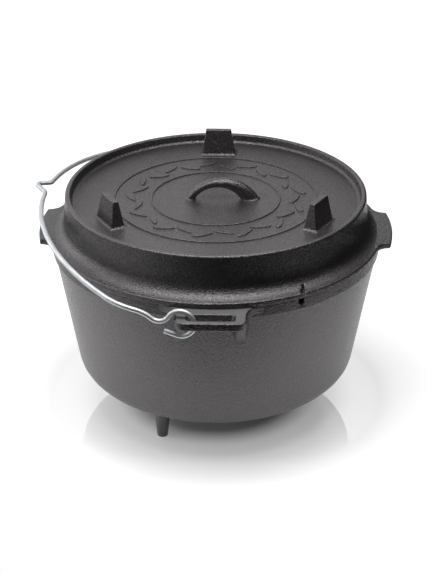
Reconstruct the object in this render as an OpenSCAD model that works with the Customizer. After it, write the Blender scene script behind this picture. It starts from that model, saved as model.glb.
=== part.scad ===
// Camp dutch oven: a cast pot on three legs, a flanged lid with a tray for coals, and a wire bail.
// Millimetres, Z up. The origin is on the floor, on the axis of the pot; the ears are at the front and back.

/* [Pot] */
// Outer radius of the band around the rim
rim_r = 162.5; // [150:0.5:175]
// Height of the rim above the underside
pot_h = 148.5; // [125:0.5:170]
// Thickness of the cast wall
wall_t = 4.5; // [4:0.5:6]
// Slope of the wall, in degrees
draft = 10; // [6:0.5:12]
// Radius where the wall turns into the bottom
bottom_round = 26; // [18:1:32]
// Height of the legs below the underside
leg_h = 36; // [28:1:45]
// Radius of the circle that the legs stand on
leg_ring_r = 102; // [85:1:106]

/* [Ears] */
// Width of each ear
ear_w = 66; // [60:1:74]
// How far each ear stands out from the rim
ear_reach = 30.5; // [29:0.5:34]
// Thickness of each ear
ear_t = 8; // [6.5:0.5:9]
// Width of the bar at each end of the slot
end_bar = 11.5; // [9:0.5:12]

/* [Lid] */
// Height of the lid above the rim of the pot
lid_h = 45.5; // [38:0.5:54]
// Depth of the tray for coals
tray_depth = 9; // [6:0.5:12]
// How far each lug reaches past the flange
lug_reach = 10.5; // [5:0.5:11]
// Height of the three lid feet above the tray
lid_foot_h = 26; // [20:1:30]
// Radius of the circle that the lid feet stand on
lid_foot_r = 115; // [104:1:118]
// Width of the handle, from front to back
handle_w = 11; // [9:0.5:14]
// Thickness of the handle at the top of its bow
handle_t = 9.7; // [8:0.1:12]

/* [Bail] */
// Thickness of the wire
wire_d = 4.8; // [4:0.2:5.2]
// How far the resting bail stands out past the flange of the lid
bail_stand = 6; // [5:0.5:14]
// Angle of the resting bail above level, in degrees
rest_tilt = 13.5; // [12:0.1:16]
// Length of the straight tail of each hook
tail_l = 12.5; // [8:0.5:13]

/* [Hidden] */
$fn = 96;
iron = [0.27, 0.26, 0.26];
steel = [0.82, 0.82, 0.83];
// Free play between the lid and the rim
seat_gap = 0.3;

// Pot
rim_z = leg_h + pot_h;
band_h = 11.7;
band_step = 1.7;
floor_t = 5;
edge_bevel = 1.2;
wall_top_r = rim_r - band_step;
band_z = rim_z - band_h;
wall_skin = wall_t / cos(draft);
mouth_r = wall_r(rim_z) - wall_skin;
leg_sole_r = 5.3;
leg_top_r = 9;
leg_flare_r = 12;
leg_flare_h = 5;
leg_sink = 3;
probe_angle = -59.3;
probe_w = 6;
probe_depth = 7;
rim_cut = 40;
overlap = 1;

// Ears
ear_y = rim_r + ear_reach;
ear_corner = 9;
ear_fillet = 22;
front_bar = 6.5;
slot_d = 11.5;
slot_corner = 3.5;
slot_w = ear_w - 2 * end_bar;
slot_y = ear_y - front_bar - slot_d / 2;
rib_t = end_bar;
rib_y = slot_y - slot_d / 2 - 0.5;
rib_h = 34;
rib_nose = 3;

// Lid
lid_z = rim_z + seat_gap;
lid_top = rim_z + lid_h;
tray_z = lid_top - tray_depth;
plate_t = 4;
flange_r = rim_r + 2.5;
flange_edge = 5.3;
flange_rise = 1.5;
skirt_top_r = flange_r - 16.6;
skirt_low_r = flange_r - 13.6;
rim_top_w = 4.8;
tray_taper = 1;
tray_r = skirt_top_r - rim_top_w - tray_taper;
tray_fillet = 3;
skirt_fillet = 7;
cavity_fillet = 7;
lip_h = 4.5;
lip_play = 2.3;
lip_taper = 1;
lip_r = mouth_r - lip_play;
skirt_t = 4.4;
cavity_low_r = skirt_low_r - skirt_t;
cavity_top_r = skirt_top_r - skirt_t;
lug_r = flange_r + lug_reach;
lug_half = 36;
lug_corner = 3;
lug_fillet = 12;
lug_t = 6;
tick_w = 1.6;
tick_l = 12;
tick_depth = 1;
foot_base = [14, 34];
foot_top = [5.5, 26];
gap_x = 2;
gap_half = 22.5;
gap_h = 12;
bow_x = 6.5;
bow_half = 36.6;
bow_h = gap_h + handle_t;

// Bail
wire_r = wire_d / 2;
seam_l = 0.6;
seam_r = wire_r + 0.05;
hinge_x = ear_w / 2 - end_bar / 2;
hinge_drop = 0.8 * ear_t;
hinge_z = rim_z - hinge_drop;
hinge_half = norm([hinge_x, slot_y]);
hinge_yaw = atan(hinge_x / slot_y);
hook_play = 1.7;
hook_r = norm([end_bar / 2, hinge_drop]) + hook_play + wire_r;
dip_r = 11;
dip_angle = 25;
lead_r = 36;
hook_leave = asin((dip_r * cos(dip_angle) - lead_r * (1 - cos(dip_angle))) / (hook_r + dip_r));
tail_dip = 3;
hook_turn = 270 + tail_dip - hook_leave;
hook_end_u = (hook_r + dip_r) * cos(hook_leave) + (dip_r + lead_r) * sin(dip_angle);
leg_line = 6;
end_r = 50;
arch_reach = (flange_r + bail_stand) / cos(rest_tilt);
past_end = arch_reach - end_r;
leg_u = hook_end_u + leg_line;
arch_back = (pow(leg_u, 2) + pow(hinge_half - end_r, 2) - pow(past_end, 2)) / (2 * (past_end - leg_u));
arch_r = arch_reach + arch_back;
arch_end = asin((hinge_half - end_r) / (arch_r - end_r));
tip_r = 5;
tip_slope = 48;
tip_flank = 9.5;
shoulder_r = 7;
half_tip = (tip_r + shoulder_r) * sin(tip_slope) + tip_flank * cos(tip_slope);
arch_start = asin(half_tip / (arch_r + shoulder_r));
tip_rise = tip_r * (1 - cos(tip_slope)) + tip_flank * sin(tip_slope)
    + shoulder_r * (cos(arch_start) - cos(tip_slope));
tip_u = arch_r * cos(arch_start) - arch_back + tip_rise;

// Outer radius of the pot's wall at a height
function wall_r(z) = wall_top_r - (band_z - z) * tan(draft);

function unit(v) = v / norm(v);

// Radius of a bow of a height over half its span
function bow_r(half, h) = (half * half + h * h) / (2 * h);

// The sliver between a corner at p, with arms towards a and b, and the arc of radius r that rounds it
module corner_sliver(p, a, b, r) {
    arm_a = unit(a - p);
    arm_b = unit(b - p);
    half = acos(arm_a * arm_b) / 2;
    middle = unit(arm_a + arm_b);
    centre = p + middle * r / sin(half);
    difference() {
        polygon([p - middle * overlap, p + arm_a * r / tan(half), centre, p + arm_b * r / tan(half)]);
        translate(centre) circle(r);
    }
}

// A rectangle from lo to hi with rounded corners
module soft_square(lo, hi, r) {
    size = hi - lo;
    translate(lo + [r, 0]) square([size[0] - 2 * r, size[1]]);
    translate(lo + [0, r]) square([size[0], size[1] - 2 * r]);
    for (x = [lo[0] + r, hi[0] - r])
        for (y = [lo[1] + r, hi[1] - r])
            translate([x, y]) circle(r);
}

// The hollow corner between a round edge of radius base_r and a side at the offset side, as seen along +X
module root_fillet(base_r, side, r) {
    reach = sqrt(pow(base_r + r, 2) - pow(side + r, 2));
    centre = [reach, side + r];
    difference() {
        polygon([[reach, side - overlap], [reach, side], centre, centre * base_r / (base_r + r),
            [base_r - r, side - overlap]]);
        translate(centre) circle(r);
    }
}

// Half section of a bowl with a sloped wall, its top at top_z, its floor at floor_z
module bowl_section(skin, floor_z, top_z, r) {
    round_z = floor_z + r;
    round_r = wall_r(round_z) - skin - r / cos(draft);
    polygon([[0, floor_z], [round_r, floor_z],
        [round_r + r * cos(draft), round_z - r * sin(draft)],
        [wall_r(top_z) - skin, top_z], [0, top_z]]);
    translate([round_r, round_z]) circle(r);
}

module rim_band_section() {
    inner_r = mouth_r - wall_t;
    polygon([[inner_r, band_z - band_step], [wall_r(band_z - band_step), band_z - band_step],
        [rim_r - edge_bevel / 2, band_z], [rim_r, band_z + edge_bevel], [rim_r, rim_z - edge_bevel],
        [rim_r - edge_bevel, rim_z], [inner_r, rim_z]]);
}

module pot_leg() {
    cylinder(h = edge_bevel, r1 = leg_sole_r - edge_bevel, r2 = leg_sole_r);
    translate([0, 0, edge_bevel])
        cylinder(h = leg_h + leg_sink - edge_bevel, r1 = leg_sole_r, r2 = leg_top_r);
    translate([0, 0, leg_h - leg_flare_h])
        cylinder(h = leg_flare_h + overlap, r1 = leg_top_r - overlap, r2 = leg_flare_r);
}

module ear_outline() {
    rotate(-90)
        for (side = [0, 1])
            mirror([0, side]) root_fillet(rim_r, ear_w / 2, ear_fillet);
    difference() {
        soft_square([-ear_w / 2, -ear_y], [ear_w / 2, -rim_r + 2 * ear_fillet], ear_corner);
        soft_square([-slot_w / 2, -slot_y - slot_d / 2], [slot_w / 2, -slot_y + slot_d / 2], slot_corner);
    }
}

module ear_rib() {
    low_z = rim_z - ear_t - rib_h;
    rotate([90, 0, 90])
        linear_extrude(height = rib_t, center = true)
            polygon([[-rib_y, rim_z - ear_t], [-rib_y, rim_z - ear_t - rib_nose],
                [-wall_r(low_z), low_z], [-wall_r(low_z) + wall_t, low_z], [-mouth_r, rim_z - ear_t]]);
}

module ear() {
    translate([0, 0, rim_z - ear_t]) linear_extrude(height = ear_t) ear_outline();
    for (x = [-hinge_x, hinge_x]) translate([x, 0, 0]) ear_rib();
}

module probe_notch() {
    rotate([0, 0, probe_angle]) translate([rim_r - rim_cut / 2, 0, rim_z - probe_depth + probe_w / 2]) {
        rotate([0, 90, 0]) cylinder(h = rim_cut, d = probe_w);
        translate([0, -probe_w / 2, 0]) cube([rim_cut, probe_w, probe_depth]);
    }
}

module pot() color(iron) {
    difference() {
        union() {
            rotate_extrude() bowl_section(0, leg_h, band_z, bottom_round);
            rotate_extrude() rim_band_section();
            for (a = [0, 180]) rotate([0, 0, a]) ear();
        }
        rotate_extrude() bowl_section(wall_skin, leg_h + floor_t, rim_z + overlap, bottom_round - wall_t);
        probe_notch();
    }
    for (a = [0, 120, 240]) rotate([0, 0, a]) translate([leg_ring_r, 0, 0]) pot_leg();
}

module lid_section() {
    tray_foot = [tray_r, tray_z];
    tray_rim = [skirt_top_r - rim_top_w, lid_top];
    rim_edge = [skirt_top_r, lid_top];
    skirt_foot = [skirt_low_r, lid_z + flange_edge + flange_rise];
    flange_top = [flange_r, lid_z + flange_edge];
    flange_low = [flange_r, lid_z];
    cavity_corner = [cavity_top_r, tray_z - plate_t];
    cavity_foot = [cavity_low_r, rim_z - lip_h];
    axis_low = [0, tray_z - plate_t];
    difference() {
        polygon([[0, tray_z], tray_foot, tray_rim, rim_edge, skirt_foot, flange_top, flange_low,
            [lip_r, lid_z], [lip_r - lip_taper, rim_z - lip_h], cavity_foot, cavity_corner, axis_low]);
        corner_sliver(rim_edge, tray_rim, skirt_foot, edge_bevel);
        corner_sliver(flange_top, skirt_foot, flange_low, edge_bevel);
    }
    corner_sliver(tray_foot, [0, tray_z], tray_rim, tray_fillet);
    corner_sliver(skirt_foot, rim_edge, flange_top, skirt_fillet);
    corner_sliver(cavity_corner, axis_low, cavity_foot, cavity_fillet);
}

module lug() {
    translate([0, 0, lid_z]) linear_extrude(height = lug_t) {
        for (side = [0, 1])
            mirror([0, side]) root_fillet(flange_r, lug_half, lug_fillet);
        difference() {
            intersection() {
                circle(lug_r);
                soft_square([0, -lug_half], [lug_r, lug_half], lug_corner);
            }
            circle(skirt_low_r - overlap);
        }
    }
}

// A wedge between two widths, drawn in a plane that runs along X and up
module wedge(base, top, h, l) {
    rotate([90, 0, 0])
        linear_extrude(height = l, center = true)
            polygon([[-base / 2, 0], [base / 2, 0], [top / 2, h], [-top / 2, h]]);
}

module lid_foot() {
    sink = 2;
    h = lid_foot_h + sink;
    translate([0, 0, tray_z - sink]) intersection() {
        wedge(foot_base[0], foot_top[0], h, foot_base[1]);
        rotate([0, 0, 90]) wedge(foot_base[1], foot_top[1], h, foot_base[0]);
    }
}

// A level drum across the lid, as high as a bow over the tray
module bow_drum(x, half, h, w) {
    r = bow_r(half, h);
    translate([x, 0, tray_z + h - r]) rotate([90, 0, 0]) cylinder(h = w, r = r, center = true);
}

// The space between two bows that are out of line, so that the handle grows towards its right end
module lid_handle() {
    intersection() {
        translate([bow_x - bow_half, -handle_w / 2, tray_z - overlap])
            cube([2 * bow_half, handle_w, bow_h + 2 * overlap]);
        difference() {
            bow_drum(bow_x, bow_half, bow_h, handle_w);
            bow_drum(gap_x, gap_half, gap_h, handle_w + 2 * overlap);
        }
    }
}

// The short groove in the flange above the probe notch, from front to back
module probe_tick() {
    edge = [flange_r * cos(probe_angle), flange_r * sin(probe_angle), lid_z + flange_edge - tick_depth];
    translate(edge - [tick_w / 2, tick_l, 0]) cube([tick_w, 2 * tick_l, rim_cut]);
}

module lid() color(iron) difference() {
    union() {
        rotate_extrude() lid_section();
        for (a = [0, 180]) rotate([0, 0, a]) lug();
        for (a = [90, 210, 330]) rotate([0, 0, a]) translate([lid_foot_r, 0, 0]) lid_foot();
        lid_handle();
    }
    probe_tick();
}

// Closes the seam between two lengths of the same wire
module wire_seam() rotate([0, 90, 0]) cylinder(h = seam_l, r = seam_r, center = true);

// A straight length of wire along +X; what follows starts at its end
module wire_line(l) {
    rotate([0, 90, 0]) cylinder(h = l, r = wire_r);
    if ($children > 0) translate([l, 0, 0]) {
        wire_seam();
        children();
    }
}

// A bend of the wire out of +X, towards the side that +Y turns to by roll; what follows starts at its end
module wire_bend(r, angle, roll = 0) {
    rotate([roll, 0, 0]) translate([0, r, 0]) {
        rotate([0, 0, -90]) rotate_extrude(angle = angle) translate([r, 0]) circle(wire_r);
        rotate([0, 0, angle]) translate([0, -r, 0]) rotate([-roll, 0, 0]) {
            wire_seam();
            children();
        }
    }
}

// From the middle of the bail to the end of one hook
module half_wire() {
    inward = 0;
    outward = 180;
    up = 90;
    down = -90;
    translate([tip_u, 0, 0]) rotate([0, 0, 90])
        wire_bend(tip_r, tip_slope, inward)
        wire_line(tip_flank)
        wire_bend(shoulder_r, tip_slope - arch_start, outward)
        wire_bend(arch_r, arch_end - arch_start, inward)
        wire_bend(end_r, 90 - arch_end, inward)
        wire_line(leg_line)
        wire_bend(lead_r, dip_angle, down)
        wire_bend(dip_r, dip_angle + 90 - hook_leave, up)
        wire_bend(hook_r, hook_turn, down)
        wire_line(tail_l);
}

// The hinge runs from the left bar of the front slot to the right bar of the back slot
module bail() color(steel)
    translate([0, 0, hinge_z]) rotate([0, 0, 180 - hinge_yaw]) rotate([0, -rest_tilt, 0])
    {
        translate([tip_u, 0, 0]) rotate([0, 0, 90]) wire_seam();
        for (turn = [0, 180]) rotate([turn, 0, 0]) half_wire();
    }

pot();
lid();
bail();
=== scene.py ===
from math import acos, asin, atan, cos, hypot, pi, radians, sin, sqrt, tan

import bmesh
import bpy
from mathutils import Matrix, Vector


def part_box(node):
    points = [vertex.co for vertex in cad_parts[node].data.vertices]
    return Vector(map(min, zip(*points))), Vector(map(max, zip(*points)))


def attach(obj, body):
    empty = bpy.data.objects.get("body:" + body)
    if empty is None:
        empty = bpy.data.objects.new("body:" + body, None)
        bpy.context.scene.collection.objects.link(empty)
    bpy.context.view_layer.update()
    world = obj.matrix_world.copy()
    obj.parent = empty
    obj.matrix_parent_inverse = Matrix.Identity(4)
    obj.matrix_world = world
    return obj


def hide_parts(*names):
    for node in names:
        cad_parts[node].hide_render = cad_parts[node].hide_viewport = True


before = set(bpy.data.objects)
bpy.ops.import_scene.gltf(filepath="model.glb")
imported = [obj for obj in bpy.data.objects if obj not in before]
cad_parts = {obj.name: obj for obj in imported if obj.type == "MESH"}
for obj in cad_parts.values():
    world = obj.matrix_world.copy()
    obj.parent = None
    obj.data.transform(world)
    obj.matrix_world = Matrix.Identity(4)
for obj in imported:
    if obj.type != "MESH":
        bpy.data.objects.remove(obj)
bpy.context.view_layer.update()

# Sizes are in millimetres, and MM turns them into metres
MM = 0.001
pot_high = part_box("pot")[1]
lid_low, lid_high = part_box("lid")

# Sizes of the pot
rim_r = pot_high.x / MM
rim_z = pot_high.z / MM
leg_h = 36
wall_t = 4.5
floor_t = 5
draft = radians(10)
bottom_round = 26
band_h = 11.7
band_step = 1.7
band_z = rim_z - band_h
pot_edge = 1.2
rim_edge = 1.8
leg_ring_r = 102
leg_sole_r = 5.3
leg_top_r = 8.8
leg_flare = 7
leg_angles = (0, 120, 240)
probe_angle = radians(-59.3)
probe_w = 6
probe_depth = 7

# Sizes of the ears
ear_y = pot_high.y / MM
ear_half = 33
ear_t = 8
ear_corner = 9
ear_edge = 1.6
ear_fillet = 22
end_bar = 11.5
end_bar_x = ear_half - end_bar / 2
front_bar = 6.5
slot_d = 11.5
slot_corner = 3.5
slot_front = ear_y - front_bar
slot_back = slot_front - slot_d
slot_half = ear_half - end_bar
rib_h = 34

# Sizes of the lid
lid_gap = 0.3
lid_z = rim_z + lid_gap
lip_z = lid_low.z / MM
lip_play = 2.3
lip_lean = 1
foot_top_z = lid_high.z / MM
foot_h = 26
foot_ring_r = 115
foot_angles = (90, 210, 330)
foot_base_half = (7, 17)
foot_top_half = (2.75, 13)
tray_z = foot_top_z - foot_h
tray_depth = 9
lid_top = tray_z + tray_depth
plate_t = 4
flange_r = lid_high.y / MM
flange_t = 5.3
ledge_w = 13.6
skirt_t = 4.4
skirt_lean = 3
skirt_low_r = flange_r - ledge_w
skirt_top_r = skirt_low_r - skirt_lean
coal_rim_t = 4.8
coal_rim_lean = 1
lug_r = lid_high.x / MM
lug_half = 36
lug_t = 6
lug_fillet = 12
lug_corner = 2.5
lug_edge = 1.4

# Sizes of the lid's handle, which lies between an inner and an outer bow
handle_w = 11
handle_t = 9.7
gap_x = 2
gap_half = 22.5
gap_h = 12
bow_x = 6.5
bow_half = 36.6
bow_h = gap_h + handle_t

# Sizes of the bail, from its tip to the tail of a hook
wire_r = 2.4
rest_tilt = radians(13.5)
tip_r = 5
tip_slope = radians(48)
tip_flank = 9.5
shoulder_r = 7
arch_clear = 6
end_r = 50
leg_line = 6
lead_r = 36
dip_r = 11
dip_angle = radians(25)
hook_play = 1.7
hook_turn = radians(273)
tail_l = 12.5
hinge_y = (slot_front + slot_back) / 2
hinge_share = 0.8
hinge_drop = hinge_share * ear_t

# How finely round shapes are cut
ROUND_STEPS = 192
ARC_STEPS = 6
EDGE_STEPS = 12
BEVEL_STEPS = 3
WIRE_STEPS = 7
LEAST_BEND_STEPS = 6
BEND_STEP = radians(4)


def wall_r(z):
    """Outer radius of the pot's wall at a height"""
    return rim_r - band_step - (band_z - z) * tan(draft)


def inner_r(z):
    """Inner radius of the pot's wall at a height"""
    return wall_r(z) - wall_t / cos(draft)


def clamp(value, high):
    """The value, held between 0 and high"""
    return min(max(value, 0), high)


def quarter_round(radius, distance):
    """How far a quarter circle stands off its flank, at a distance from the face at its other end"""
    below = clamp(radius - distance, radius)
    return radius - sqrt(radius ** 2 - below ** 2)


def soften(corners):
    """Points through corners (x, y, radius), with an arc of that radius at each corner that has one"""
    points = []
    for k, (x, y, radius) in enumerate(corners):
        here = Vector((x, y))
        if radius == 0:
            points.append(here)
            continue
        back = (Vector(corners[k - 1][:2]) - here).normalized()
        ahead = (Vector(corners[(k + 1) % len(corners)][:2]) - here).normalized()
        half = back.angle(ahead) / 2
        centre = here + (back + ahead).normalized() * radius / sin(half)
        spoke = here + back * radius / tan(half) - centre
        way = 1 if back.x * ahead.y - back.y * ahead.x < 0 else -1
        for step in range(ARC_STEPS + 1):
            turn = Matrix.Rotation(way * (pi - 2 * half) * step / ARC_STEPS, 2)
            points.append(centre + turn @ spoke)
    return points


def rectangle(left, front, right, back, corner):
    """Points around a rectangle with round corners"""
    return soften([
        (left, front, corner),
        (right, front, corner),
        (right, back, corner),
        (left, back, corner),
    ])


def arc(radius, start, end, steps):
    """Points on a circle around the axis, between two angles"""
    angles = [start + (end - start) * k / steps for k in range(steps + 1)]
    return [Vector((radius * cos(a), radius * sin(a))) for a in angles]


def hollow_root(base_r, side, radius):
    """Points of the hollow corner between a round edge and a side at an offset, from the side to the edge"""
    middle_y = side + radius
    middle_x = sqrt((base_r + radius) ** 2 - middle_y ** 2)
    sweep = acos(middle_y / (base_r + radius))
    return [(middle_x - y, middle_y - x, 0) for x, y in arc(radius, 0, sweep, EDGE_STEPS)]


# Meshes


def add_object(name, data):
    """An object that holds the data, in the scene"""
    obj = bpy.data.objects.new(name, data)
    bpy.context.scene.collection.objects.link(obj)
    return obj


def make_object(name, vertices, faces):
    """A mesh object from vertices in millimetres"""
    mesh = bpy.data.meshes.new(name)
    mesh.from_pydata([Vector(v) * MM for v in vertices], [], faces)
    return add_object(name, mesh)


def ring_faces(rings, count):
    """The faces between rings that follow each other, each of as many points as count"""
    faces = []
    for ring in range(rings - 1):
        for k in range(count):
            here = ring * count + k
            beside = ring * count + (k + 1) % count
            faces.append((here, beside, beside + count, here + count))
    return faces


def lathe(name, outline, centre=(0, 0)):
    """A solid turned about a vertical axis, from (radius, height) points that end on the axis"""
    vertices = []
    for radius, z in outline:
        for x, y in arc(max(radius, 0), 0, 2 * pi, ROUND_STEPS)[:-1]:
            vertices.append((centre[0] + x, centre[1] + y, z))
    return make_object(name, vertices, ring_faces(len(outline), ROUND_STEPS))


def loft(name, loops):
    """A solid through loops of points, closed at both ends"""
    count = len(loops[0])
    points = [point for loop in loops for point in loop]
    first_end = tuple(range(count))
    last_end = tuple(range(len(points) - count, len(points)))
    return make_object(name, points, [first_end, *ring_faces(len(loops), count), last_end])


def add_line(curve, points, closed):
    """Adds a line through points in millimetres to a curve"""
    spline = curve.splines.new("POLY")
    spline.use_cyclic_u = closed
    spline.points.add(len(points) - 1)
    for knot, point in zip(spline.points, points):
        x, y, z = point.to_3d()
        knot.co = (x * MM, y * MM, z * MM, 1)


def mesh_of_curve(name, curve):
    """A mesh object of a curve's surface"""
    drawn = add_object(name + "_curve", curve)
    graph = bpy.context.evaluated_depsgraph_get()
    mesh = bpy.data.meshes.new_from_object(drawn.evaluated_get(graph))
    bpy.data.objects.remove(drawn)
    return add_object(name, mesh)


def plate(name, outlines, low, high, edge):
    """A flat plate between two heights with round edges; an outline inside another one is a hole"""
    curve = bpy.data.curves.new(name, "CURVE")
    curve.dimensions = "2D"
    curve.fill_mode = "BOTH"
    curve.offset = -edge * MM
    curve.extrude = ((high - low) / 2 - edge) * MM
    curve.bevel_depth = edge * MM
    curve.bevel_resolution = BEVEL_STEPS
    for outline in outlines:
        add_line(curve, outline, closed=True)
    obj = mesh_of_curve(name, curve)
    obj.data.transform(Matrix.Translation((0, 0, (low + high) / 2 * MM)))
    return obj


def spin(obj, angle):
    """The piece, with its mesh turned about the axis of the pot"""
    obj.data.transform(Matrix.Rotation(angle, 4, "Z"))
    return obj


def clean_mesh(obj):
    """Joins doubled points and turns all faces outwards"""
    joined_gap = 0.002
    mesh = bmesh.new()
    mesh.from_mesh(obj.data)
    bmesh.ops.remove_doubles(mesh, verts=mesh.verts, dist=joined_gap * MM)
    bmesh.ops.recalc_face_normals(mesh, faces=mesh.faces)
    mesh.to_mesh(obj.data)
    mesh.free()


def cut(obj, cutter):
    """Takes the cutter out of the object"""
    clean_mesh(obj)
    clean_mesh(cutter)
    modifier = obj.modifiers.new("Cut", "BOOLEAN")
    modifier.object = cutter
    modifier.solver = "EXACT"
    bpy.context.view_layer.objects.active = obj
    bpy.ops.object.modifier_apply(modifier=modifier.name)
    bpy.data.objects.remove(cutter)


def dress(obj, body, material):
    """Finishes a piece: its mesh, its material and the body that it moves with"""
    obj.data.materials.clear()
    obj.data.materials.append(material)
    clean_mesh(obj)
    obj.data.shade_smooth()
    obj.modifiers.new("Normals", "WEIGHTED_NORMAL")
    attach(obj, body)


def grind_and_paint_light(obj, material, z):
    """Gives the level faces at a height the levelled finish, whose lighter colour paints the overhead light
    onto these tops
    """
    level = 0.99
    reach = 0.1
    obj.data.materials.append(material)
    for face in obj.data.polygons:
        if face.normal.z > level and abs(face.center.z - z * MM) < reach * MM:
            face.material_index = 1


# Materials
IRON_IOR = 1.9
NOISE_SPAN = (0.3, 0.7)


def grey(value):
    """A colour without a hue"""
    return (value, value, value)


def new_material(name):
    """A material with its node tree and its main shader"""
    material = bpy.data.materials.new(name)
    material.use_nodes = True
    tree = material.node_tree
    return material, tree, tree.nodes["Principled BSDF"]


def add_noise(tree, place, scale, detail, rough=0.5):
    """Noise at a number of bumps to the metre, in the piece's own coordinates"""
    noise = tree.nodes.new("ShaderNodeTexNoise")
    noise.inputs["Scale"].default_value = scale
    noise.inputs["Detail"].default_value = detail
    noise.inputs["Roughness"].default_value = rough
    tree.links.new(place.outputs["Object"], noise.inputs["Vector"])
    return noise


def add_ramp(tree, source, stops):
    """A ramp of (position, colour) stops in rising order, fed by a value"""
    ramp = tree.nodes.new("ShaderNodeValToRGB")
    elements = ramp.color_ramp.elements
    elements[0].position = stops[0][0]
    elements[1].position = stops[-1][0]
    for position, _ in stops[1:-1]:
        elements.new(position)
    for element, (_, colour) in zip(elements, stops):
        element.color = (*colour, 1)
    tree.links.new(source, ramp.inputs["Fac"])
    return ramp


def add_range(tree, source, span, target):
    """A value that goes through the target pair as the source goes through the span"""
    spread = tree.nodes.new("ShaderNodeMapRange")
    spread.inputs["From Min"].default_value, spread.inputs["From Max"].default_value = span
    spread.inputs["To Min"].default_value, spread.inputs["To Max"].default_value = target
    tree.links.new(source, spread.inputs["Value"])
    return spread


def add_tone(tree, shader, noise, dark, light):
    """Gives the shader a colour that drifts between a dark and a light one"""
    tone = add_ramp(tree, noise.outputs["Fac"], list(zip(NOISE_SPAN, (dark, light))))
    tree.links.new(tone.outputs["Color"], shader.inputs["Base Color"])


def add_gloss(tree, shader, noise, target, span=NOISE_SPAN):
    """Gives the shader a roughness that goes through the target pair as the noise goes through the span"""
    gloss = add_range(tree, noise.outputs["Fac"], span, target)
    tree.links.new(gloss.outputs["Result"], shader.inputs["Roughness"])


def add_bump(tree, noise, distance, strength, below=None):
    """A bump of a height in metres, on top of another bump if there is one"""
    bump = tree.nodes.new("ShaderNodeBump")
    bump.inputs["Distance"].default_value = distance
    bump.inputs["Strength"].default_value = strength
    tree.links.new(noise.outputs["Fac"], bump.inputs["Height"])
    if below:
        tree.links.new(below.outputs["Normal"], bump.inputs["Normal"])
    return bump


def cast_iron():
    """Seasoned iron with the sandy grain of its mould"""
    material, tree, shader = new_material("cast_iron")
    place = tree.nodes.new("ShaderNodeTexCoord")
    cloud = add_noise(tree, place, scale=22, detail=4)
    grain = add_noise(tree, place, scale=400, detail=3, rough=0.65)
    sand = add_noise(tree, place, scale=800, detail=2, rough=0.6)
    add_tone(tree, shader, cloud, dark=(0.011, 0.0102, 0.0103), light=(0.018, 0.0167, 0.0169))
    add_gloss(tree, shader, sand, target=(0.41, 0.22), span=(0.35, 0.65))
    low_bump = add_bump(tree, grain, distance=0.9 * MM, strength=0.7)
    top_bump = add_bump(tree, sand, distance=0.4 * MM, strength=0.65, below=low_bump)
    tree.links.new(top_bump.outputs["Normal"], shader.inputs["Normal"])
    shader.inputs["IOR"].default_value = IRON_IOR
    shader.inputs["Specular Tint"].default_value = (1, 0.94, 0.95, 1)
    return material


def ground_iron_painted_light():
    """Iron levelled on a grinding wheel to seat the lid, with faint marks of the wheel; its much lighter
    colour is painted light, standing for the overhead light on these level tops
    """
    material, tree, shader = new_material("ground_iron_painted_light")
    place = tree.nodes.new("ShaderNodeTexCoord")
    cloud = add_noise(tree, place, scale=60, detail=3)
    marks = add_noise(tree, place, scale=900, detail=2)
    # Painted light: this tone is set far above the cast iron's so that the level tops read as lit from above
    add_tone(tree, shader, cloud, dark=(0.09, 0.086, 0.088), light=(0.115, 0.11, 0.112))
    add_gloss(tree, shader, marks, target=(0.42, 0.55))
    bump = add_bump(tree, marks, distance=0.1 * MM, strength=0.4)
    tree.links.new(bump.outputs["Normal"], shader.inputs["Normal"])
    shader.inputs["IOR"].default_value = IRON_IOR
    return material


def bright_wire():
    """Drawn steel wire with a bright coat"""
    material, tree, shader = new_material("bright_wire")
    place = tree.nodes.new("ShaderNodeTexCoord")
    cloud = add_noise(tree, place, scale=90, detail=3)
    fine = add_noise(tree, place, scale=900, detail=2)
    add_tone(tree, shader, cloud, dark=(0.6, 0.62, 0.64), light=(0.72, 0.74, 0.76))
    add_gloss(tree, shader, fine, target=(0.44, 0.58))
    bump = add_bump(tree, fine, distance=0.06 * MM, strength=0.4)
    tree.links.new(bump.outputs["Normal"], shader.inputs["Normal"])
    shader.inputs["Metallic"].default_value = 1
    return material


iron = cast_iron()
ground_finish_painted_light = ground_iron_painted_light()
wire = bright_wire()

# Pot


def make_notch():
    """What the notch for a probe takes out of the rim"""
    half = probe_w / 2
    bottom_flat = 0.1
    corner = half - bottom_flat
    reach = 30
    edge = 0.2
    notch = plate("notch", [soften([
        (-half, 0, corner),
        (half, 0, corner),
        (half, probe_depth + reach, 0),
        (-half, probe_depth + reach, 0),
    ])], rim_r - reach, rim_r + reach, edge)
    upright = Matrix(((0, 0, 1, 0), (1, 0, 0, 0), (0, 1, 0, 0), (0, 0, 0, 1)))
    raised = Matrix.Translation((0, 0, (rim_z - probe_depth) * MM))
    notch.data.transform(raised @ upright)
    return spin(notch, probe_angle)


def make_pot_shell():
    """The body of the pot with the band around its rim and the notch for a probe"""
    band_low = band_z - band_step
    floor_z = leg_h + floor_t
    shell = lathe("pot_shell", soften([
        (0, leg_h, 0),
        (wall_r(leg_h), leg_h, bottom_round),
        (wall_r(band_low), band_low, pot_edge),
        (rim_r, band_z, pot_edge),
        (rim_r, rim_z, rim_edge),
        (inner_r(rim_z), rim_z, pot_edge),
        (inner_r(floor_z), floor_z, bottom_round - wall_t),
        (0, floor_z, 0),
    ]))
    cut(shell, make_notch())
    return shell


def make_leg(number, angle):
    """One leg, flared where it leaves the underside"""
    root_r = 20
    root_t = 1
    root_z = leg_h + root_t
    centre = (leg_ring_r * cos(radians(angle)), leg_ring_r * sin(radians(angle)))
    return lathe(f"pot_leg_{number}", soften([
        (0, 0, 0),
        (leg_sole_r, 0, pot_edge),
        (leg_top_r, leg_h, leg_flare),
        (root_r, leg_h, 0),
        (root_r, root_z, 0),
        (0, root_z, 0),
    ]), centre)


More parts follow.
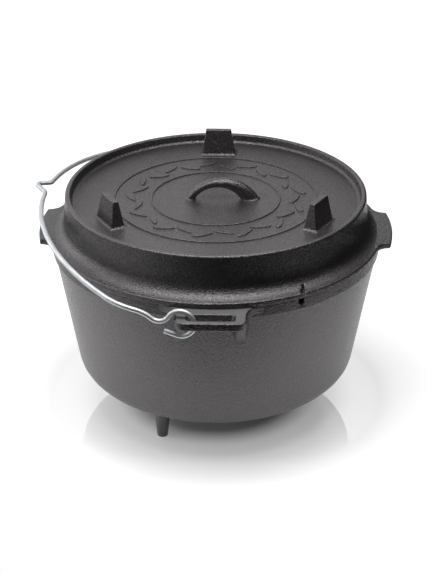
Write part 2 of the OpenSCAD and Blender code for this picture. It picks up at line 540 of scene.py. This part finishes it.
def make_ear(name, turn):
    """One slotted ear, level with the rim"""
    bite = 4
    root = [(y, -x, 0) for x, y, _ in hollow_root(rim_r, ear_half, ear_fillet)]
    spread = asin(root[-1][0] / rim_r)
    inner = arc(rim_r - bite, pi / 2 - spread, pi / 2 + spread, EDGE_STEPS)
    outline = soften([
        *[(-x, y, 0) for x, y, _ in reversed(root)],
        (-ear_half, -ear_y, ear_corner),
        (ear_half, -ear_y, ear_corner),
        *root,
        *[(x, -y, 0) for x, y in inner],
    ])
    slot = rectangle(-slot_half, -slot_front, slot_half, -slot_back, slot_corner)
    return spin(plate(name, [outline, slot], rim_z - ear_t, rim_z, ear_edge), turn)


def make_rib(name, x, turn):
    """One soft rib between an ear and the wall, with hollow flanks"""
    slot_clear = 0.5
    ear_bite = 2
    level_h = 5
    swell = 0.8
    nose = slot_back - slot_clear
    low_z = rim_z - ear_t - rib_h
    top_z = rim_z - ear_t + ear_bite
    growing_h = rib_h - level_h
    flank = 3
    half = end_bar / 2 + flank
    back_depth = 3
    edge_depth = 0.5
    rows = 14
    steps = 20
    loops = []
    for row in range(rows + 1):
        z = low_z + (top_z - low_z) * row / rows
        wall = wall_r(z)
        depth = (nose - wall) * clamp((z - low_z) / growing_h, 1) ** swell
        loop = []
        for side in (half, -half):
            loop.append((x + side, back_depth - sqrt(wall ** 2 - (x + side) ** 2), z))
        for k in range(steps + 1):
            side = half * (2 * k / steps - 1)
            rise = clamp((half - abs(side)) / (2 * flank), 1)
            bulge = depth * (3 * rise ** 2 - 2 * rise ** 3)
            loop.append((x + side, edge_depth - sqrt(wall ** 2 - (x + side) ** 2) - bulge, z))
        loops.append(loop)
    return spin(loft(name, loops), turn)


pot_shell = make_pot_shell()
dress(pot_shell, "pot", iron)
# The rim top gets the levelled finish, with its lighter colour as painted light
grind_and_paint_light(pot_shell, ground_finish_painted_light, rim_z)
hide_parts("pot")
for number, angle in enumerate(leg_angles):
    dress(make_leg(number, angle), "pot", iron)
for side, turn in (("front", 0), ("back", pi)):
    ear = make_ear(f"ear_{side}", turn)
    dress(ear, "pot", iron)
    # The ear's top gets the levelled finish, with its lighter colour as painted light on it
    grind_and_paint_light(ear, ground_finish_painted_light, rim_z)
    for hand, x in (("left", -end_bar_x), ("right", end_bar_x)):
        dress(make_rib(f"ear_rib_{side}_{hand}", x, turn), "pot", iron)

# Lid


def make_tick():
    """What the mark above the probe's notch takes out of the flange"""
    half = 0.8
    length = 12
    height = 20
    edge = 0.1
    left_t = 4.3
    low = lid_z + left_t
    x = flange_r * cos(probe_angle)
    y = flange_r * sin(probe_angle)
    outline = rectangle(x - half, y - length, x + half, y + length, 0)
    return plate("tick", [outline], low, low + height, edge)


def make_lid_shell():
    """The plate, raised rim, skirt, flange and lip of the lid"""
    tray_r = skirt_top_r - coal_rim_t - coal_rim_lean
    tray_corner = 3.5
    coal_rim_edges = (1.6, 2)
    cove_h = 6.8
    cove_round = 13
    flange_edges = (1.8, 1)
    lip_r = inner_r(rim_z) - lip_play
    lip_edge = 0.8
    dome_corner = 7
    shell = lathe("lid_shell", soften([
        (0, tray_z, 0),
        (tray_r, tray_z, tray_corner),
        (tray_r + coal_rim_lean, lid_top, coal_rim_edges[0]),
        (skirt_top_r, lid_top, coal_rim_edges[1]),
        (skirt_low_r, lid_z + cove_h, cove_round),
        (flange_r, lid_z + flange_t, flange_edges[0]),
        (flange_r, lid_z, flange_edges[1]),
        (lip_r, lid_z, 0),
        (lip_r - lip_lean, lip_z, lip_edge),
        (skirt_low_r - skirt_t, lip_z, lip_edge),
        (skirt_top_r - skirt_t, tray_z - plate_t, dome_corner),
        (0, tray_z - plate_t, 0),
    ]))
    cut(shell, make_tick())
    return shell


def make_lug(name, turn):
    """One lug at the side of the flange"""
    bite = 8
    tip_share = 0.9
    root = hollow_root(flange_r, lug_half, lug_fillet)
    spread = tip_share * asin(lug_half / lug_r)
    corner_x = sqrt(lug_r ** 2 - lug_half ** 2)
    inside = asin(root[-1][1] / flange_r)
    outline = soften([
        *[(x, -y, 0) for x, y, _ in reversed(root)],
        (corner_x, -lug_half, lug_corner),
        *[(x, y, 0) for x, y in arc(lug_r, -spread, spread, EDGE_STEPS)],
        (corner_x, lug_half, lug_corner),
        *root,
        *[(x, y, 0) for x, y in arc(flange_r - bite, inside, -inside, EDGE_STEPS)],
    ])
    return spin(plate(name, [outline], lid_z, lid_z + lug_t, lug_edge), turn)


def make_lid_foot(number, angle):
    """One wedge-shaped foot with a hollow fillet around its base"""
    sink = 1
    fillet = 2.2
    edge = 0.6
    corner = 0.8
    fillet_rows = (0, 0.2, 0.5, 1, 1.6, fillet)
    edge_rows = (foot_h - edge, foot_h - edge / 3, foot_h)
    loops = []
    for z in (-sink, *fillet_rows, foot_h / 2, *edge_rows):
        share = max(z, 0) / foot_h
        spread = quarter_round(fillet, z)
        grown = spread - quarter_round(edge, foot_h - z)
        halves = zip(foot_base_half, foot_top_half)
        half_x, half_y = [low + (top - low) * share + grown for low, top in halves]
        loop = rectangle(-half_x, -half_y, half_x, half_y, corner + spread)
        loops.append([(foot_ring_r + x, y, tray_z + z) for x, y in loop])
    return spin(loft(f"lid_foot_{number}", loops), radians(angle))


def bow_point(x, half, height, share):
    """A point of a bow over the tray, from its left end at share -1 to its right end at share 1"""
    sink = 1.5
    radius = (half ** 2 + height ** 2) / (2 * height)
    angle = share * acos(1 - (height + sink) / radius)
    return Vector((x + radius * sin(angle), 0, tray_z + height - radius * (1 - cos(angle))))


def make_handle():
    """The loop handle between two bows that are out of line, so that it grows towards its right end"""
    steps = 72
    sides = 28
    fillet = 1.4
    loops = []
    for step in range(steps + 1):
        share = 2 * step / steps - 1
        inner = bow_point(gap_x, gap_half, gap_h, share)
        outer = bow_point(bow_x, bow_half, bow_h, share)
        middle = (inner + outer) / 2
        flare = quarter_round(fillet, middle.z - tray_z)
        outward = (outer - inner).normalized()
        half_t = (outer - inner).length / 2 + flare
        half_w = handle_w / 2 + flare
        loop = []
        for k in range(sides):
            turn = 2 * pi * k / sides
            loop.append(middle + outward * half_t * cos(turn) + Vector((0, half_w * sin(turn), 0)))
        loops.append(loop)
    return loft("lid_handle", loops)


def leaf_outline(row_r, lean, around_axis):
    """Points around one leaf of the wreath, which narrows towards one end"""
    length = 21
    width = 4.2
    taper = 0.25
    steps = 32
    place = Matrix.Rotation(around_axis, 2)
    tilt = Matrix.Rotation(lean, 2)
    points = []
    for step in range(steps):
        around = 2 * pi * step / steps
        along = -cos(around) * length / 2
        across = sin(around) * width * (1 - taper + taper * cos(around))
        points.append(place @ (Vector((row_r, 0)) + tilt @ Vector((across, along))))
    return points


def ring_outlines(outer_r):
    """The two circles of one ring of the wreath"""
    width = 1.8
    steps = 160
    return [arc(r, 0, 2 * pi, steps)[:-1] for r in (outer_r, outer_r - width)]


def make_wreath():
    """A plain raised wreath of leaves between two rings"""
    count = 26
    lean = radians(28)
    outer_row_r = 84
    inner_row_r = 78
    outer_ring_r = 101.2
    inner_ring_r = 64.2
    height = 0.9
    edge = 0.6
    leaves = []
    for k in range(count):
        row_r, way = (outer_row_r, 1) if k % 2 else (inner_row_r, -1)
        leaves.append(leaf_outline(row_r, way * lean, 2 * pi * k / count))
    shapes = {
        "lid_wreath": leaves,
        "lid_wreath_outer": ring_outlines(outer_ring_r),
        "lid_wreath_inner": ring_outlines(inner_ring_r),
    }
    low = tray_z - height
    high = tray_z + height
    return [plate(name, outlines, low, high, edge) for name, outlines in shapes.items()]


lid_shell = make_lid_shell()
dress(lid_shell, "lid", iron)
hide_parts("lid")
for side, turn in (("right", 0), ("left", pi)):
    dress(make_lug(f"lid_lug_{side}", turn), "lid", iron)
for number, angle in enumerate(foot_angles):
    dress(make_lid_foot(number, angle), "lid", iron)
dress(make_handle(), "lid", iron)
for piece in make_wreath():
    dress(piece, "lid", iron)

# Bail, whose wire bends in four ways, as turns about its own line
INWARD = 0
OUTWARD = pi
UP = pi / 2
DOWN = -pi / 2


def bend(points, place, radius, angle, roll):
    """Adds a bend of the wire out of +X, towards +Y turned by roll; returns the place after it"""
    rolled = place @ Matrix.Rotation(roll, 4, "X")
    steps = max(LEAST_BEND_STEPS, int(angle / BEND_STEP))
    for step in range(1, steps + 1):
        turn = angle * step / steps
        points.append(rolled @ Vector((radius * sin(turn), radius * (1 - cos(turn)), 0)))
    end = Matrix.Translation((radius * sin(angle), radius * (1 - cos(angle)), 0))
    end @= Matrix.Rotation(angle, 4, "Z")
    return rolled @ end @ Matrix.Rotation(-roll, 4, "X")


def straight(points, place, length):
    """Adds a straight length of the wire along +X; returns the place after it"""
    place = place @ Matrix.Translation((length, 0, 0))
    points.append(place.translation.copy())
    return place


def half_wire(hinge_half, hook_r):
    """The middle line from the tip of the bail to the end of one hook, in the plane of the bail"""
    hook_leave = asin((dip_r * cos(dip_angle) - lead_r * (1 - cos(dip_angle))) / (hook_r + dip_r))
    hook_end = (hook_r + dip_r) * cos(hook_leave) + (dip_r + lead_r) * sin(dip_angle)
    leg = hook_end + leg_line
    arch_reach = (flange_r + arch_clear) / cos(rest_tilt)
    past_end = arch_reach - end_r
    arch_back = (leg ** 2 + (hinge_half - end_r) ** 2 - past_end ** 2) / (2 * (past_end - leg))
    arch_r = arch_reach + arch_back
    arch_end = asin((hinge_half - end_r) / (arch_r - end_r))
    half_tip = (tip_r + shoulder_r) * sin(tip_slope) + tip_flank * cos(tip_slope)
    arch_start = asin(half_tip / (arch_r + shoulder_r))
    tip_rise = tip_r * (1 - cos(tip_slope)) + tip_flank * sin(tip_slope)
    tip_rise += shoulder_r * (cos(arch_start) - cos(tip_slope))
    tip = arch_r * cos(arch_start) - arch_back + tip_rise
    points = [Vector((tip, 0, 0))]
    place = Matrix.Translation((tip, 0, 0)) @ Matrix.Rotation(pi / 2, 4, "Z")
    place = bend(points, place, tip_r, tip_slope, INWARD)
    place = straight(points, place, tip_flank)
    place = bend(points, place, shoulder_r, tip_slope - arch_start, OUTWARD)
    place = bend(points, place, arch_r, arch_end - arch_start, INWARD)
    place = bend(points, place, end_r, pi / 2 - arch_end, INWARD)
    place = straight(points, place, leg_line)
    place = bend(points, place, lead_r, dip_angle, DOWN)
    place = bend(points, place, dip_r, dip_angle + pi / 2 - hook_leave, UP)
    place = bend(points, place, hook_r, hook_turn - hook_leave, DOWN)
    straight(points, place, tail_l)
    return points


def make_bail():
    """The bent wire, its hooks in the left end of the front slot and the right end of the back slot"""
    hook_r = hypot(end_bar / 2, hinge_drop) + hook_play + wire_r
    half = half_wire(hypot(end_bar_x, hinge_y), hook_r)
    other = [Vector((x, -y, -z)) for x, y, z in half]
    place = Matrix.Translation((0, 0, rim_z - hinge_drop))
    place @= Matrix.Rotation(pi - atan(end_bar_x / hinge_y), 4, "Z")
    place @= Matrix.Rotation(-rest_tilt, 4, "Y")
    curve = bpy.data.curves.new("bail_wire", "CURVE")
    curve.dimensions = "3D"
    curve.bevel_depth = wire_r * MM
    curve.bevel_resolution = WIRE_STEPS
    curve.use_fill_caps = True
    add_line(curve, [place @ point for point in other[:0:-1] + half], closed=False)
    return mesh_of_curve("bail_wire", curve)


bail = make_bail()
dress(bail, "bail", wire)
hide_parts("bail")

# Floor, light and camera
TABLE_LEFT = -440
TABLE_RIGHT = 400
TABLE_FRONT = -285
TABLE_BACK = 1600
TABLE_SPREAD = 60


def table_corners(z):
    """The corners of the table top, which grows wider towards the back on its right side, at a height"""
    return [
        (TABLE_LEFT, TABLE_FRONT, z),
        (TABLE_RIGHT, TABLE_FRONT, z),
        (TABLE_RIGHT + TABLE_SPREAD, TABLE_BACK, z),
        (TABLE_LEFT, TABLE_BACK, z),
    ]


def screen_corners(start, end, low, high):
    """The corners of an upright screen over the line from start to end"""
    return [(*start, low), (*end, low), (*end, high), (*start, high)]


def make_quads(name, quads):
    """A mesh object of faces that have four corners each"""
    corners = [corner for quad in quads for corner in quad]
    faces = [tuple(range(k, k + 4)) for k in range(0, len(corners), 4)]
    return make_object(name, corners, faces)


def add_seen(tree, lift, shader):
    """Lifts a surface towards white where the camera, a gloss or a clear piece shows it"""
    rays = tree.nodes.new("ShaderNodeLightPath")
    seen = rays.outputs["Is Camera Ray"]
    for name in ("Is Glossy Ray", "Is Transmission Ray"):
        either = tree.nodes.new("ShaderNodeMath")
        either.operation = "MAXIMUM"
        tree.links.new(seen, either.inputs[0])
        tree.links.new(rays.outputs[name], either.inputs[1])
        seen = either.outputs["Value"]
    glow = tree.nodes.new("ShaderNodeMath")
    glow.operation = "MULTIPLY"
    tree.links.new(seen, glow.inputs[0])
    tree.links.new(lift.outputs["Color"], glow.inputs[1])
    shader.inputs["Emission Color"].default_value = (1, 1, 1, 1)
    tree.links.new(glow.outputs["Value"], shader.inputs["Emission Strength"])


def add_mirror(tree, place, away, shader):
    """Lets the floor mirror only near the pot, up to a straight edge in front"""
    fading_out = (0.145, 0.17)
    front_edge = (-0.14, -0.122)
    split = tree.nodes.new("ShaderNodeSeparateXYZ")
    tree.links.new(place.outputs["Object"], split.inputs["Vector"])
    near = add_range(tree, away.outputs["Value"], fading_out, (1, 0))
    fade = add_range(tree, split.outputs["Y"], front_edge, (0, 1))
    tree.links.new(near.outputs["Result"], fade.inputs["To Max"])
    tree.links.new(fade.outputs["Result"], shader.inputs["Specular IOR Level"])


def make_floor():
    """A white table top with a gloss, which ends a little in front of the pot"""
    material, tree, shader = new_material("studio_floor")
    place = tree.nodes.new("ShaderNodeTexCoord")
    cloud = add_noise(tree, place, scale=3, detail=2)
    add_tone(tree, shader, cloud, dark=(0.81, 0.81, 0.82), light=(0.83, 0.83, 0.84))
    shader.inputs["Roughness"].default_value = 0.04
    shader.inputs["IOR"].default_value = 2
    away = tree.nodes.new("ShaderNodeVectorMath")
    away.operation = "LENGTH"
    tree.links.new(place.outputs["Object"], away.inputs[0])
    add_mirror(tree, place, away, shader)
    # Painted light: the floor's glow grows with distance from the pot, which lightens the real shadow beyond
    # a small ring round the pot and whitens the far floor
    lift_at_distance = ((0.08, 0), (0.105, 0.3), (0.15, 0.42), (0.19, 0.54), (0.3, 0.6), (0.9, 0.85))
    stops = [(distance, grey(lift)) for distance, lift in lift_at_distance]
    add_seen(tree, add_ramp(tree, away.outputs["Value"], stops), shader)
    floor = make_quads("studio_floor", [table_corners(0)])
    floor.data.materials.append(material)


def make_flag():
    """Dark screens around the table and behind the camera, which aren't seen themselves"""
    material, tree, shader = new_material("studio_flag")
    place = tree.nodes.new("ShaderNodeTexCoord")
    weave = add_noise(tree, place, scale=40, detail=2)
    add_tone(tree, shader, weave, dark=grey(0.018), light=grey(0.024))
    shader.inputs["Roughness"].default_value = 1
    far = 2600
    top = 3200
    low = -5
    wing = 1300
    wing_bend = (wing, wing / 2)
    wing_end = (wing / 3, wing * 1.4)
    front_left, front_right, back_right, back_left = table_corners(low)
    flag = make_quads("studio_flag", [
        [(-far, -far, low), (far, -far, low), (far, TABLE_FRONT, low), (-far, TABLE_FRONT, low)],
        [(-far, TABLE_FRONT, low), front_left, back_left, (-far, TABLE_BACK, low)],
        [front_right, (far, TABLE_FRONT, low), (far, TABLE_BACK, low), back_right],
        screen_corners((far, -far), (-far, -far), low, top),
        screen_corners((wing, -far), wing_bend, low, wing),
        screen_corners(wing_bend, wing_end, low, wing),
    ])
    flag.data.materials.append(material)
    flag.visible_camera = False


def make_world():
    """A room that is white low down and dims towards its ceiling"""
    dimming_band = (0.54, 0.74)
    strengths = (1, 0.3)
    world = bpy.data.worlds.new("studio")
    world.use_nodes = True
    bpy.context.scene.world = world
    tree = world.node_tree
    sky = tree.nodes["Background"]
    sky.inputs["Color"].default_value = (1, 1, 1, 1)
    place = tree.nodes.new("ShaderNodeTexCoord")
    split = tree.nodes.new("ShaderNodeSeparateXYZ")
    tree.links.new(place.outputs["Generated"], split.inputs["Vector"])
    strength = add_range(tree, split.outputs["Z"], dimming_band, strengths)
    tree.links.new(strength.outputs["Result"], sky.inputs["Strength"])


def make_softbox(name, place, aim, size, power):
    """An area light that points at aim, with its place, aim and size in metres"""
    data = bpy.data.lights.new(name, "AREA")
    data.shape = "RECTANGLE"
    data.size, data.size_y = size
    data.energy = power
    lamp = add_object(name, data)
    lamp.location = place
    lamp.rotation_mode = "QUATERNION"
    lamp.rotation_quaternion = (Vector(aim) - Vector(place)).to_track_quat("-Z", "Y")


def make_camera():
    """The photo's view: its turn about the object, its tilt, its distance and its lens"""
    turn = radians(1.5)
    tilt = radians(27.54)
    distance = 1.7272
    aim = Vector((-0.0008, 0, 0.1222))
    back = Vector((sin(turn) * cos(tilt), -cos(turn) * cos(tilt), sin(tilt)))
    camera = add_object("camera", bpy.data.cameras.new("camera"))
    camera.data.sensor_width = 36
    camera.data.lens = 106.8
    camera.location = aim + back * distance
    camera.rotation_mode = "QUATERNION"
    camera.rotation_quaternion = (-back).to_track_quat("-Z", "Y")
    bpy.context.scene.camera = camera


make_floor()
make_flag()
make_world()
make_softbox("top_softbox", place=(0, -0.15, 0.8), aim=(0, -0.15, 0), size=(0.7, 0.36), power=4.8)
make_softbox("left_softbox", place=(-1.2, 0.4, 0.5), aim=(0, 0, 0.15), size=(0.5, 0.8), power=3)
make_camera()
bpy.context.scene.view_settings.view_transform = "Standard"
